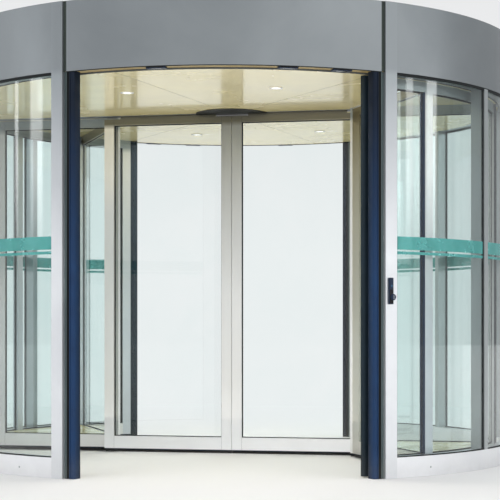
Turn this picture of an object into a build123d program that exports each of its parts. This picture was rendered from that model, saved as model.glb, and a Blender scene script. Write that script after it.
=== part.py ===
from build123d import *
from math import asin, atan2, cos, degrees, hypot, radians, sin, sqrt
import os

# Two-wing automatic revolving door. Millimetres, +Z up. The origin is the drum's
# centre on the floor, and the front doorway faces -Y.

# Drum
drum_diameter = 3900.0
wall_depth = 100.0
clear_height = 2400.0
canopy_height = 415.0
door_opening = 1725.0
post_width = 82.0
edge_width = 74.0
edge_depth = 76.0
edge_nose = 16.0
base_height = 122.0
fascia_sheet = 5.0
fascia_recess = 10.0
reveal_width = 22.0
ring_sheet = 4.0
roof_thickness = 18.0
parapet = 7.0
drum_glass_thickness = 12.0
drum_glass_setback = 10.0
mullion_width = 48.0
mullion_angles = (-33.1, 0.0, 33.1)
head_rail_height = 6.0
head_rail_setback = 5.0
band_level = 1354.0
band_height = 78.0
line_level = 1326.0
line_height = 17.0
film_thickness = 0.6

# Overhead drive
beam_width = 80.0
beam_height = 90.0
beam_spacing = 240.0
housing_radius = 150.0
housing_height = 100.0
bearing_height = 50.0
shaft_radius = 60.0
collar_radius = 90.0
collar_height = 20.0

# Devices on the drum
sensor_length = 122.0
sensor_width = 54.0
sensor_drop = 12.0
sensor_offsets = (-385.0, 375.0, 690.0)
switch_width = 32.0
switch_height = 156.0
switch_depth = 14.0
switch_level = 1107.0
switch_side = -8.0
knob_radius = 19.0
knob_length = 12.0
knob_drop = 36.0
knob_side = 1.0

# Rotor
rotor_angle = -11.5
running_gap = 8.0
ceiling_drop = 10.0
ceiling_thickness = 16.0
ceiling_joint = 3.0
strip_width = 330.0
joint_angles = (-50.0, -98.7)
carrier_width = 60.0
carrier_height = 40.0
disc_radius = 255.0
disc_thickness = 4.0
track_width = 100.0
track_height = 84.0
track_wall = 6.0
track_slot = 20.0
lamp_radius = 43.0
lamp_drop = 5.0
lamp_out = 485.0
lamp_shift = 45.0
lamp_forward = 1065.0
frame_depth = 45.0
frame_width = 75.0
frame_bottom = 31.0
bottom_rail = 88.0
top_rail = 62.0
wing_start = 854.0
wing_end_stile = 104.0
wing_offset = 90.0
glass_thickness = 12.0
case_start = 869.0
case_stile = 120.0
stile_angles = (48.45, 35.75, 13.4)
stile_width = 70.0
stile_edge_width = 8.0
tip_width = 65.0
tip_round = 12.0
case_floor_thickness = 20.0
brush_thickness = 12.0
floor_gap = 6.0
seal_width = 14.0

# Sliding leaves
leaf_width = 930.0
leaf_stile = 71.0
leaf_top_rail = 45.0
leaf_drop = 19.0
meeting_gap = 3.0
hanger_length = 700.0
hanger_web = 8.0
hanger_flange = 50.0
flange_thickness = 12.0
seat_gap = 0.3

# Levels and radii that follow from the driving dimensions
outer_radius = drum_diameter / 2
inner_radius = outer_radius - wall_depth
total_height = clear_height + canopy_height
front_radius = outer_radius - fascia_recess
ring_radius = front_radius - fascia_sheet
roof_top = total_height - parapet
roof_bottom = roof_top - roof_thickness
beam_bottom = roof_bottom - beam_height
housing_bottom = beam_bottom - housing_height
rotor_radius = inner_radius - running_gap
ceiling_level = clear_height - ceiling_drop
ceiling_top = ceiling_level + ceiling_thickness
edge_mid_radius = inner_radius + wall_depth / 2

# Plan angles of the front doorway's parts, measured from its centre line
edge_start = degrees(asin(door_opening / 2 / edge_mid_radius))
edge_end = edge_start + degrees(edge_width / edge_mid_radius)
post_end = edge_end + degrees(post_width / outer_radius)
fascia_end = edge_end - degrees(reveal_width / outer_radius)

FRONT = -90.0
BACK = 90.0
SIDES = {"right": 0.0, "left": 180.0}


def plan_plane(angle, level=0.0, start=(0.0, 0.0), bend=0.0):
    """Horizontal plane turned by the plan angle, from a point of that turned plan."""
    origin = Vector(*start, level).rotate(Axis.Z, angle)
    direction = Vector(1, 0, 0).rotate(Axis.Z, angle + bend)
    return Plane(origin=origin, x_dir=direction, z_dir=(0, 0, 1))


def ring_sector(inner, outer, start, end):
    """Flat piece of a ring between two plan angles."""
    with BuildSketch() as sector:
        with BuildLine():
            outer_arc = CenterArc((0, 0), outer, start, end - start)
            inner_arc = CenterArc((0, 0), inner, start, end - start)
            Line(outer_arc @ 0, inner_arc @ 0)
            Line(outer_arc @ 1, inner_arc @ 1)
        make_face()
    return sector.sketch


def keep(piece, name):
    """Label a finished piece and write it to its own file."""
    piece.part.label = name
    export_step(piece.part, f"parts/{name}.step")


os.makedirs("parts", exist_ok=True)

# Fascias over the two doorways, set back behind the posts' faces
for name, centre in (("front", FRONT), ("back", BACK)):
    with BuildPart() as fascia:
        with BuildSketch(Plane.XY.offset(clear_height)):
            add(ring_sector(ring_radius, front_radius, centre - fascia_end, centre + fascia_end))
        extrude(amount=canopy_height)
    keep(fascia, f"fascia_{name}")

# Fascias over the glazed sides, flush with the posts
side_half = BACK - post_end
for name, centre in SIDES.items():
    with BuildPart() as fascia:
        with BuildSketch(Plane.XY.offset(clear_height)):
            add(ring_sector(ring_radius, outer_radius, centre - side_half, centre + side_half))
        extrude(amount=canopy_height)
    keep(fascia, f"fascia_{name}")

# Canopy ring: an upright inner wall, the soffit and a top flange, in four lengths
ring_spans = (
    (FRONT, edge_end),
    (BACK, edge_end),
    (SIDES["right"], side_half),
    (SIDES["left"], side_half),
)
with BuildPart() as ring:
    for centre, half in ring_spans:
        with BuildSketch(Plane.XY.offset(clear_height)):
            add(ring_sector(inner_radius, ring_radius, centre - half, centre + half))
        extrude(amount=ring_sheet)
        with BuildSketch(Plane.XY.offset(clear_height)):
            add(ring_sector(inner_radius, inner_radius + ring_sheet, centre - half, centre + half))
        extrude(amount=roof_bottom - clear_height)
        with BuildSketch(Plane.XY.offset(roof_bottom - ring_sheet)):
            add(ring_sector(inner_radius, ring_radius, centre - half, centre + half))
        extrude(amount=ring_sheet)
keep(ring, "canopy_ring")

# Roof deck
with BuildPart() as roof:
    with BuildSketch(Plane.XY.offset(roof_bottom)):
        Circle(ring_radius)
        for centre in (FRONT, BACK):
            for turn in (-1, 1):
                span = sorted((centre + turn * edge_end, centre + turn * post_end))
                add(ring_sector(inner_radius, outer_radius, *span), mode=Mode.SUBTRACT)
    extrude(amount=roof_thickness)
keep(roof, "canopy_roof")

# Posts beside the doorways, full height
corners = {
    "front_left": (FRONT, -1),
    "front_right": (FRONT, 1),
    "back_right": (BACK, -1),
    "back_left": (BACK, 1),
}
for name, (centre, turn) in corners.items():
    span = sorted((centre + turn * edge_end, centre + turn * post_end))
    with BuildPart() as post:
        with BuildSketch():
            add(ring_sector(inner_radius, outer_radius, *span))
        extrude(amount=total_height)
    keep(post, f"post_{name}")

# Rubber safety edges on the posts, each with a rounded nose towards the doorway
edge_inner = edge_mid_radius - edge_depth / 2
edge_outer = edge_mid_radius + edge_depth / 2
with BuildPart() as edges:
    for centre, turn in corners.values():
        span = sorted((centre + turn * edge_start, centre + turn * edge_end))
        with BuildSketch():
            add(ring_sector(edge_inner, edge_outer, *span))
        extrude(amount=clear_height)
    doorway_edges = edges.edges().filter_by(Axis.Z).group_by(lambda e: round(abs(e.center().X)))
    fillet(doorway_edges[0] + doorway_edges[1], radius=edge_nose)
keep(edges, "safety_edges")

# Dark joints between the doorway fascias and the posts
with BuildPart() as joints:
    for centre, turn in corners.values():
        span = sorted((centre + turn * fascia_end, centre + turn * edge_end))
        with BuildSketch(Plane.XY.offset(clear_height)):
            add(ring_sector(ring_radius, ring_radius + ring_sheet, *span))
        extrude(amount=canopy_height)
keep(joints, "fascia_joints")

# Base rails under the glazed sides
for name, centre in SIDES.items():
    with BuildPart() as base:
        with BuildSketch():
            add(ring_sector(inner_radius, outer_radius, centre - side_half, centre + side_half))
        extrude(amount=base_height)
    keep(base, f"drum_base_{name}")

# Head rails that hold the top of the curved glass
glass_outer = outer_radius - drum_glass_setback
glass_inner = glass_outer - drum_glass_thickness
head_level = clear_height - head_rail_height
head_outer = outer_radius - head_rail_setback
with BuildPart() as heads:
    for centre in SIDES.values():
        with BuildSketch(Plane.XY.offset(head_level)):
            add(ring_sector(inner_radius, head_outer, centre - side_half, centre + side_half))
        extrude(amount=head_rail_height)
keep(heads, "head_rails")

# Mullions that divide each glazed side into bays
mullion_half = degrees(mullion_width / 2 / outer_radius)
with BuildPart() as mullions:
    for centre in SIDES.values():
        for angle in mullion_angles:
            start = centre + angle - mullion_half
            with BuildSketch(Plane.XY.offset(base_height)):
                add(ring_sector(inner_radius, outer_radius, start, start + 2 * mullion_half))
            extrude(amount=head_level - base_height)
keep(mullions, "drum_mullions")


def bays(centre):
    """Plan angles at which each pane of a glazed side starts and ends."""
    starts = [-side_half] + [angle + mullion_half for angle in mullion_angles]
    ends = [angle - mullion_half for angle in mullion_angles] + [side_half]
    for start, end in zip(starts, ends):
        yield centre + start, centre + end


# Curved glass of each bay
for name, centre in SIDES.items():
    with BuildPart() as glass:
        for start, end in bays(centre):
            with BuildSketch(Plane.XY.offset(base_height)):
                add(ring_sector(glass_inner, glass_outer, start, end))
            extrude(amount=head_level - base_height)
    keep(glass, f"drum_glass_{name}")

# Coloured film on the glass, a broad band with a thin line below it
with BuildPart() as bands:
    for centre in SIDES.values():
        for start, end in bays(centre):
            for level, height in ((band_level, band_height), (line_level, line_height)):
                with BuildSketch(Plane.XY.offset(level)):
                    add(ring_sector(glass_outer, glass_outer + film_thickness, start, end))
                extrude(amount=height)
keep(bands, "glass_bands")

# Two beams across the canopy, under the roof deck
with BuildPart() as beams:
    with BuildSketch(Plane.XY.offset(beam_bottom)):
        with Locations((0, beam_spacing / 2), (0, -beam_spacing / 2)):
            Rectangle(drum_diameter, beam_width)
        Circle(inner_radius - seat_gap, mode=Mode.INTERSECT)
    extrude(amount=beam_height)
keep(beams, "roof_beams")

# Bearing housing under the beams, with a wider pocket for the shaft's collar
with BuildPart() as housing:
    with BuildSketch(Plane.XY.offset(housing_bottom)):
        Circle(housing_radius)
        Circle(shaft_radius + seat_gap, mode=Mode.SUBTRACT)
    extrude(amount=housing_height)
    with BuildSketch(Plane.XY.offset(housing_bottom + bearing_height)):
        Circle(collar_radius + seat_gap)
    extrude(amount=housing_height - bearing_height, mode=Mode.SUBTRACT)
keep(housing, "drive_housing")

# Motion sensors under the soffit, in front of each doorway
with BuildPart() as sensors:
    for turn in (0.0, 180.0):
        for offset in sensor_offsets:
            forward = sqrt(edge_mid_radius**2 - offset**2)
            lean = degrees(asin(offset / edge_mid_radius))
            with BuildSketch(plan_plane(turn, clear_height)):
                with Locations((offset, -forward)):
                    SlotOverall(sensor_length, sensor_width, rotation=lean)
            extrude(amount=-sensor_drop)
    fillet(sensors.faces().filter_by(Axis.Z).group_by(Axis.Z)[0].edges(), radius=sensor_drop / 2)
keep(sensors, "motion_sensors")

# Key switch on the front right post
switch_angle = FRONT + (edge_end + post_end) / 2
post_face = Plane(
    origin=(outer_radius * cos(radians(switch_angle)), outer_radius * sin(radians(switch_angle)), 0),
    x_dir=(-sin(radians(switch_angle)), cos(radians(switch_angle)), 0),
    z_dir=(cos(radians(switch_angle)), sin(radians(switch_angle)), 0),
)
with BuildPart() as switch:
    with BuildSketch(post_face):
        with Locations((switch_side, switch_level)):
            RectangleRounded(switch_width, switch_height, switch_width / 6)
    extrude(amount=switch_depth)
keep(switch, "switch_box")

with BuildPart() as knob:
    with BuildSketch(post_face.offset(switch_depth)):
        with Locations((knob_side, switch_level - knob_drop)):
            Circle(knob_radius)
    extrude(amount=knob_length)
    chamfer(knob.faces().sort_by(lambda f: f.center().dot(post_face.z_dir))[-1].edges(), length=3.0)
keep(knob, "switch_knob")

# The rotor's two halves are alike, turned half a turn
WINGS = {"right": rotor_angle, "left": rotor_angle + 180.0}

# Shaft with the collar that hangs in the bearing
track_top = ceiling_level + track_height
collar_bottom = housing_bottom + bearing_height + seat_gap
with BuildPart() as shaft:
    with BuildSketch(Plane.XY.offset(track_top)):
        Circle(shaft_radius)
    extrude(amount=collar_bottom + collar_height - track_top)
    with BuildSketch(Plane.XY.offset(collar_bottom)):
        Circle(collar_radius)
    extrude(amount=collar_height)
    with BuildSketch(Plane.XY.offset(track_top)):
        Circle(housing_radius)
    extrude(amount=flange_thickness)
keep(shaft, "rotor_shaft")

# Door track across the rotor, a channel with a slot along its underside
with BuildPart() as track:
    with BuildSketch(plan_plane(rotor_angle, ceiling_level)):
        Rectangle(2 * rotor_radius, track_width)
        Circle(rotor_radius, mode=Mode.INTERSECT)
    extrude(amount=track_height)
    with BuildSketch(plan_plane(rotor_angle, ceiling_level + track_wall)):
        Rectangle(2 * rotor_radius, track_width - 2 * track_wall)
    extrude(amount=track_height - 2 * track_wall, mode=Mode.SUBTRACT)
    with BuildSketch(plan_plane(rotor_angle, ceiling_level)):
        Rectangle(2 * rotor_radius, track_slot)
    extrude(amount=track_wall, mode=Mode.SUBTRACT)
keep(track, "door_track")

# Carrier ring on the ceiling's rim, in two halves beside the track
with BuildPart() as carrier:
    with BuildSketch(plan_plane(rotor_angle, ceiling_top)):
        Circle(rotor_radius)
        Circle(rotor_radius - carrier_width, mode=Mode.SUBTRACT)
        Rectangle(2 * rotor_radius, track_width, mode=Mode.SUBTRACT)
    extrude(amount=carrier_height)
keep(carrier, "ceiling_carrier")

# Ceiling strips beside the track
strip_edge = track_width / 2 + strip_width
with BuildPart() as strips:
    for turn in WINGS.values():
        with BuildSketch(plan_plane(turn, ceiling_level)):
            with Locations((0, -track_width / 2)):
                Rectangle(2 * rotor_radius, strip_width, align=(Align.CENTER, Align.MAX))
            Circle(rotor_radius, mode=Mode.INTERSECT)
        extrude(amount=ceiling_thickness)
keep(strips, "ceiling_strips")

# Three wider ceiling panels beyond each strip, parted by narrow joints
for name, turn in (("front", WINGS["right"]), ("back", WINGS["left"])):
    with BuildPart() as panels:
        with BuildSketch(plan_plane(turn, ceiling_level)):
            Circle(rotor_radius)
            with Locations((0, -strip_edge - ceiling_joint)):
                Rectangle(
                    2 * rotor_radius,
                    2 * rotor_radius,
                    align=(Align.CENTER, Align.MIN),
                    mode=Mode.SUBTRACT,
                )
            for angle in joint_angles:
                Rectangle(
                    rotor_radius,
                    ceiling_joint,
                    rotation=angle,
                    align=(Align.MIN, Align.CENTER),
                    mode=Mode.SUBTRACT,
                )
        extrude(amount=ceiling_thickness)
    keep(panels, f"ceiling_panels_{name}")

# Dark centre disc under the ceiling, slit where the leaves' hangers pass
with BuildPart() as disc:
    with BuildSketch(plan_plane(rotor_angle, ceiling_level - disc_thickness)):
        Circle(disc_radius)
        Rectangle(2 * disc_radius, track_slot, mode=Mode.SUBTRACT)
    extrude(amount=disc_thickness)
keep(disc, "centre_disc")

# Downlight rings in the ceiling
with BuildPart() as lamps:
    for turn in WINGS.values():
        with BuildSketch(plan_plane(turn, ceiling_level - lamp_drop)):
            with Locations((lamp_shift, -lamp_forward)):
                with Locations((lamp_out, 0), (-lamp_out, 0)):
                    Circle(lamp_radius)
        extrude(amount=lamp_drop)
keep(lamps, "downlights")

# Radii, levels and plan points shared by the showcase pieces
rail_outer = rotor_radius - seal_width
rail_inner = rail_outer - frame_depth
rail_middle = rail_outer - frame_depth / 2
stile_half = degrees(stile_width / 2 / rail_outer)
stile_spans = [(-angle - stile_half, -angle + stile_half) for angle in stile_angles]
tail_end = stile_spans[0][0]
case_rear = stile_spans[1][0]
tip_end = tail_end - degrees(tip_width / rail_outer)
pane_bottom = frame_bottom + bottom_rail
pane_top = ceiling_level - top_rail
wing_face = -(wing_offset + frame_depth / 2)
wing_end = sqrt(rail_outer**2 - wing_face**2)
wing_pane = wing_end - wing_end_stile - wing_start - frame_width
corner = Vector(case_start, wing_face)
stile_foot = Vector(rail_inner, 0).rotate(Axis.Z, case_rear)
reach = stile_foot - corner
case_angle = degrees(atan2(reach.Y, reach.X))
far = 2 * rotor_radius


def rotor_arc(inner, outer, start, end):
    """Ring piece that stops at the straight panel's showcase face."""
    with BuildSketch() as arc:
        add(ring_sector(inner, outer, start, end))
        with Locations((0, wing_face)):
            Rectangle(far, far, align=(Align.CENTER, Align.MIN), mode=Mode.SUBTRACT)
    return arc.sketch


# Straight fixed panel of each wing
with BuildPart() as frames:
    for turn in WINGS.values():
        with BuildSketch(plan_plane(turn, frame_bottom, (wing_start, wing_face))):
            Rectangle(wing_end - wing_start, frame_depth, align=Align.MIN)
        extrude(amount=ceiling_level - frame_bottom)
        with BuildSketch(plan_plane(turn, pane_bottom, (wing_start + frame_width, wing_face))):
            Rectangle(wing_pane, frame_depth, align=Align.MIN)
        extrude(amount=pane_top - pane_bottom, mode=Mode.SUBTRACT)
keep(frames, "wing_frames")

with BuildPart() as glass:
    for turn in WINGS.values():
        with BuildSketch(plan_plane(turn, pane_bottom, (wing_start + frame_width, -wing_offset))):
            Rectangle(wing_pane, glass_thickness, align=(Align.MIN, Align.CENTER))
        extrude(amount=pane_top - pane_bottom)
keep(glass, "wing_glass")

# Upright stiles of each curved wall: at the tail's end, behind the showcase and before it
with BuildPart() as stiles:
    for turn in WINGS.values():
        for span in stile_spans:
            with BuildSketch(plan_plane(turn, frame_bottom)):
                add(ring_sector(rail_inner, rail_outer, *span))
            extrude(amount=ceiling_level - frame_bottom)
keep(stiles, "case_stiles")

# Angled inner panel of each showcase, from the straight panel to the rear stile
jamb = (corner.X, corner.Y)
with BuildPart() as frames:
    for turn in WINGS.values():
        with BuildSketch(plan_plane(turn, frame_bottom)):
            with Locations(jamb):
                Rectangle(far, frame_depth, rotation=case_angle, align=Align.MIN)
            Circle(rail_inner, mode=Mode.INTERSECT)
            with Locations((0, wing_face)):
                Rectangle(far, far, align=(Align.CENTER, Align.MIN), mode=Mode.SUBTRACT)
        extrude(amount=ceiling_level - frame_bottom)
        with BuildSketch(plan_plane(turn, pane_bottom, jamb, case_angle)):
            with Locations((case_stile, 0)):
                Rectangle(far, frame_depth, align=Align.MIN)
        extrude(amount=pane_top - pane_bottom, mode=Mode.SUBTRACT)
keep(frames, "case_frames")

with BuildPart() as glass:
    for turn in WINGS.values():
        with BuildSketch(plan_plane(turn, pane_bottom, jamb, case_angle)):
            with Locations((case_stile, frame_depth / 2)):
                Rectangle(reach.length, glass_thickness, align=(Align.MIN, Align.CENTER))
        extrude(amount=pane_top - pane_bottom)
    with BuildSketch(Plane.XY.offset(pane_bottom)):
        Circle(rail_inner)
    extrude(amount=pane_top - pane_bottom, mode=Mode.INTERSECT)
keep(glass, "case_glass")

# Curved top and bottom rails of each showcase and of the tail behind it
rail_runs = (
    (stile_spans[0][1], stile_spans[1][0]),
    (stile_spans[1][1], stile_spans[2][0]),
    (stile_spans[2][1], 0.0),
)
with BuildPart() as rails:
    for turn in WINGS.values():
        for start, end in rail_runs:
            with BuildSketch(plan_plane(turn, frame_bottom)):
                add(rotor_arc(rail_inner, rail_outer, start, end))
            extrude(amount=bottom_rail)
            with BuildSketch(plan_plane(turn, pane_top)):
                add(rotor_arc(rail_inner, rail_outer, start, end))
            extrude(amount=top_rail)
keep(rails, "curved_rails")

# Curved outer glass of each showcase, and of its tail
pane_inner = rail_middle - glass_thickness / 2
pane_outer = rail_middle + glass_thickness / 2
with BuildPart() as glass:
    for turn in WINGS.values():
        for start, end in rail_runs:
            with BuildSketch(plan_plane(turn, pane_bottom)):
                add(rotor_arc(pane_inner, pane_outer, start, end))
            extrude(amount=pane_top - pane_bottom)
keep(glass, "curved_glass")

# Thin rubber edges on the rear stile, towards the tail and on both sides of its glass
stile_edge_end = case_rear - degrees(stile_edge_width / rail_outer)
with BuildPart() as edges:
    for turn in WINGS.values():
        with BuildSketch(plan_plane(turn, pane_bottom)):
            add(ring_sector(rail_inner, pane_inner, stile_edge_end, case_rear))
            add(ring_sector(pane_outer, rail_outer, stile_edge_end, case_rear))
        extrude(amount=pane_top - pane_bottom)
keep(edges, "stile_edges")

# Rubber tip on the tail's end stile, with rounded corners
with BuildSketch() as tip_plan:
    add(ring_sector(rail_inner, rail_outer, tip_end, tail_end))
    tip_corners = tip_plan.vertices().sort_by(lambda v: atan2(v.Y, v.X))[:2]
    fillet(tip_corners, radius=tip_round)
with BuildPart() as tips:
    for turn in WINGS.values():
        with BuildSketch(plan_plane(turn, floor_gap)):
            add(tip_plan.sketch)
        extrude(amount=ceiling_level - floor_gap)
keep(tips, "tail_tips")

# Showcase floors between the bottom rails
inner_point = corner + Vector(0, frame_depth).rotate(Axis.Z, case_angle)
with BuildPart() as floors:
    for turn in WINGS.values():
        with BuildSketch(plan_plane(turn, pane_bottom - case_floor_thickness)):
            Circle(rail_inner)
            with Locations((0, wing_face)):
                Rectangle(far, far, align=(Align.CENTER, Align.MIN), mode=Mode.SUBTRACT)
            with Locations(inner_point):
                Rectangle(
                    far,
                    far,
                    rotation=case_angle,
                    align=(Align.CENTER, Align.MAX),
                    mode=Mode.SUBTRACT,
                )
        extrude(amount=case_floor_thickness)
keep(floors, "case_floors")

# Floor brushes along the bottom rails
jamb_middle = corner + Vector(0, frame_depth / 2).rotate(Axis.Z, case_angle)
brush_inner = rail_middle - brush_thickness / 2
with BuildPart() as brushes:
    for turn in WINGS.values():
        with BuildSketch(plan_plane(turn, floor_gap)):
            with Locations((wing_start, -wing_offset)):
                Rectangle(wing_end - wing_start, brush_thickness, align=(Align.MIN, Align.CENTER))
            with Locations(jamb_middle):
                Rectangle(
                    reach.length,
                    brush_thickness,
                    rotation=case_angle,
                    align=(Align.MIN, Align.CENTER),
                )
            add(rotor_arc(brush_inner, brush_inner + brush_thickness, tail_end, 0.0))
        extrude(amount=frame_bottom - floor_gap)
keep(brushes, "floor_brushes")

# Upright brush seals at the wing's end and on the tail's end stile
seal_half = degrees(brush_thickness / 2 / rail_outer)
with BuildPart() as seals:
    for turn in WINGS.values():
        with BuildSketch(plan_plane(turn, frame_bottom)):
            Rectangle(rotor_radius, 2 * wing_offset, align=(Align.MIN, Align.CENTER))
            Circle(rotor_radius, mode=Mode.INTERSECT)
            Rectangle(wing_end, far, align=(Align.MIN, Align.CENTER), mode=Mode.SUBTRACT)
            with Locations((0, -wing_offset + brush_thickness / 2)):
                Rectangle(far, far, align=(Align.CENTER, Align.MIN), mode=Mode.SUBTRACT)
            with Locations((0, -wing_offset - brush_thickness / 2)):
                Rectangle(far, far, align=(Align.CENTER, Align.MAX), mode=Mode.SUBTRACT)
            seal_start = -stile_angles[0] - seal_half
            add(ring_sector(rail_outer, rotor_radius, seal_start, seal_start + 2 * seal_half))
        extrude(amount=ceiling_level - frame_bottom)
keep(seals, "wing_seals")

# Sliding leaves that meet at the rotor's centre, each with its hanger bar
leaf_top = ceiling_level - leaf_drop
leaf_edge = meeting_gap / 2
leaf_middle = (leaf_edge + leaf_width) / 2
leaf_pane = leaf_width - leaf_edge - 2 * leaf_stile
leaf_pane_height = leaf_top - leaf_top_rail - pane_bottom
lip_top = ceiling_level + track_wall
flange_bottom = lip_top + seat_gap
for name, turn in WINGS.items():
    with BuildPart() as frame:
        with BuildSketch(plan_plane(turn, frame_bottom, (leaf_edge, 0))):
            Rectangle(leaf_width - leaf_edge, frame_depth, align=(Align.MIN, Align.CENTER))
        extrude(amount=leaf_top - frame_bottom)
        with BuildSketch(plan_plane(turn, pane_bottom, (leaf_middle, 0))):
            Rectangle(leaf_pane, frame_depth)
        extrude(amount=leaf_pane_height, mode=Mode.SUBTRACT)
        with BuildSketch(plan_plane(turn, leaf_top, (leaf_middle, 0))):
            Rectangle(hanger_length, hanger_web)
        extrude(amount=flange_bottom - leaf_top)
        with BuildSketch(plan_plane(turn, flange_bottom, (leaf_middle, 0))):
            Rectangle(hanger_length, hanger_flange)
        extrude(amount=flange_thickness)
    keep(frame, f"leaf_{name}_frame")

    with BuildPart() as glass:
        with BuildSketch(plan_plane(turn, pane_bottom, (leaf_middle, 0))):
            Rectangle(leaf_pane, glass_thickness)
        extrude(amount=leaf_pane_height)
    keep(glass, f"leaf_{name}_glass")

    with BuildPart() as brush:
        with BuildSketch(plan_plane(turn, floor_gap, (leaf_middle, 0))):
            Rectangle(leaf_width - leaf_edge, brush_thickness)
        extrude(amount=frame_bottom - floor_gap)
    keep(brush, f"leaf_{name}_brush")
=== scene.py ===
import bmesh
import bpy
from functools import reduce
from math import asin, atan2, ceil, cos, degrees, pi, radians, sin, sqrt
from mathutils import Matrix, Vector


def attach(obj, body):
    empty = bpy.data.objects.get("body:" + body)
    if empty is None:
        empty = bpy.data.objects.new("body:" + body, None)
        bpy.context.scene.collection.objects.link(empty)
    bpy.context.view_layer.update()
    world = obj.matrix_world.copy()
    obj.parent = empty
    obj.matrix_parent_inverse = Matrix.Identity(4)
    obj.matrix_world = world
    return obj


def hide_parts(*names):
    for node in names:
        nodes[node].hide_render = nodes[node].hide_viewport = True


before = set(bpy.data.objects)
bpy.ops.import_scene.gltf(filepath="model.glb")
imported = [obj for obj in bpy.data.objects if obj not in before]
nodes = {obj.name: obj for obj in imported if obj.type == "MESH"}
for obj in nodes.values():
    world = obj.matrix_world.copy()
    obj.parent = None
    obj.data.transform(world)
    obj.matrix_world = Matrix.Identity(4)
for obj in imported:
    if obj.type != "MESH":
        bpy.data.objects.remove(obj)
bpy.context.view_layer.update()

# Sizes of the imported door, in metres and degrees. Drum:
OUTER = 1.950
DOORWAY_HALF = 0.8625
EDGE_WIDTH = 0.074
POST_WIDTH = 0.082
MULLION_WIDTH = 0.048
WALL_MIDDLE = 1.900
CLEAR = 2.400
DECK = 2.808
BASE = 0.122
GLASS_FACE = 1.940
GLASS_BACK = 1.928
HEAD = 2.394
MULLION_ANGLES = (-33.1, 0.0, 33.1)

# Rotor
ROTOR_ANGLE = -11.5
CEILING = 2.390
FRAME_FOOT = 0.031
PANE_FOOT = 0.119
PANE_TOP = 2.328
FRAME_WIDTH = 0.075
FRAME_DEPTH = 0.045
STILE_WIDTH = 0.070
TIP_WIDTH = 0.065
PANE_THICK = 0.012
RAIL_OUTER = 1.828
RAIL_INNER = 1.783
SWEEP = 1.842
PANE_OUT = 1.8115
PANE_IN = 1.7995
WING_START = 0.854
WING_LINE = -0.090
WING_FACE = -0.1125
WING_STILE = 0.104
CASE_START = 0.869
CASE_STILE = 0.120
CASE_LENGTH = 1.092
BRUSH_FOOT = 0.006
DOWNLIGHT_SPOTS = ((-0.440, -1.065), (0.530, -1.065))

# Sliding leaves
LEAF_WIDTH = 0.930
LEAF_EDGE = 0.0015
LEAF_STILE = 0.071
LEAF_HEAD = 2.371
LEAF_PANE_TOP = 2.326

# Rubber edges: their own sizes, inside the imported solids
RUBBER_WIDTH = 0.033
RUBBER_IN = 1.862
RUBBER_OUT = 1.938
BELLOWS_WIDTH = 0.022
CARRIER_IN = 1.866
CARRIER_OUT = 1.934
GROOVE_DEPTH = 0.003

# Plan angles, measured from a doorway's centre line or from the rotor's centre line
EDGE_START = degrees(asin(DOORWAY_HALF / WALL_MIDDLE))
RUBBER_HEEL = EDGE_START + degrees(RUBBER_WIDTH / WALL_MIDDLE)
CARRIER_START = RUBBER_HEEL + degrees(BELLOWS_WIDTH / WALL_MIDDLE)
EDGE_END = EDGE_START + degrees(EDGE_WIDTH / WALL_MIDDLE)
POST_END = EDGE_END + degrees(POST_WIDTH / OUTER)
SIDE_HALF = 90.0 - POST_END
MULLION_HALF = degrees(MULLION_WIDTH / 2 / OUTER)
STILE_HALF = degrees(STILE_WIDTH / 2 / RAIL_OUTER)
TAIL_STILE = -48.45
REAR_STILE = -35.75
LEAD_STILE = -13.4
TAIL_END = TAIL_STILE - STILE_HALF
TIP_END = TAIL_END - degrees(TIP_WIDTH / RAIL_OUTER)
WING_ARC = -degrees(asin(-WING_FACE / PANE_IN))
WING_END = sqrt(RAIL_OUTER**2 - WING_FACE**2)
WING_PANE = WING_END - WING_STILE - WING_START - FRAME_WIDTH
CURVED_RUNS = ((TAIL_STILE + STILE_HALF, REAR_STILE - STILE_HALF),
               (REAR_STILE + STILE_HALF, LEAD_STILE - STILE_HALF),
               (LEAD_STILE + STILE_HALF, WING_ARC))

# Each body's place at rest, and the turns that repeat a piece round the axis
ROTOR_TURN = Matrix.Rotation(radians(ROTOR_ANGLE), 4, "Z")
HALF_TURN = Matrix.Rotation(pi, 4, "Z")
MIRROR = Matrix.Scale(-1.0, 4, (1.0, 0.0, 0.0))
BODY_PLACES = {"drum": Matrix.Identity(4), "rotor": ROTOR_TURN, "leaf_right": ROTOR_TURN,
               "leaf_left": ROTOR_TURN @ HALF_TURN}
TWICE = (HALF_TURN,)
FOUR_TIMES = (MIRROR, HALF_TURN)
shift = Matrix.Translation


# Shader nodes

VECTOR = "ShaderNodeVectorMath"
FLOAT = "NodeSocketFloat"


def feed(tree, socket, value):
    """Link a node's output to the socket, or set the socket's own value."""
    if isinstance(value, bpy.types.NodeSocket):
        tree.links.new(value, socket)
    elif socket.type == "RGBA":
        socket.default_value = (*value, 1.0)
    else:
        socket.default_value = value


def fill(tree, node, **values):
    """Give a node its settings and its inputs by name."""
    for key, value in values.items():
        if hasattr(node, key):
            setattr(node, key, value)
        else:
            feed(tree, node.inputs[key.replace("_", " ")], value)
    return node


def add_node(tree, kind, **values):
    """New node, its settings and inputs given by name."""
    return fill(tree, tree.nodes.new(kind), **values)


def calculate(tree, operation, *values, kind="ShaderNodeMath", output="Value"):
    """Result of one sum."""
    node = add_node(tree, kind, operation=operation)
    for socket, value in zip(node.inputs, values):
        feed(tree, socket, value)
    return node.outputs[output]


def combine(tree, operation, values):
    """One number from several, by the same sum from first to last."""
    return reduce(lambda first, second: calculate(tree, operation, first, second), values)


def span(tree, value, low, high, start=0.0, end=1.0):
    """Number from low to high as the value goes from start to end."""
    return add_node(tree, "ShaderNodeMapRange", Value=value, From_Min=start, From_Max=end,
                    To_Min=low, To_Max=high).outputs["Result"]


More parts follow.
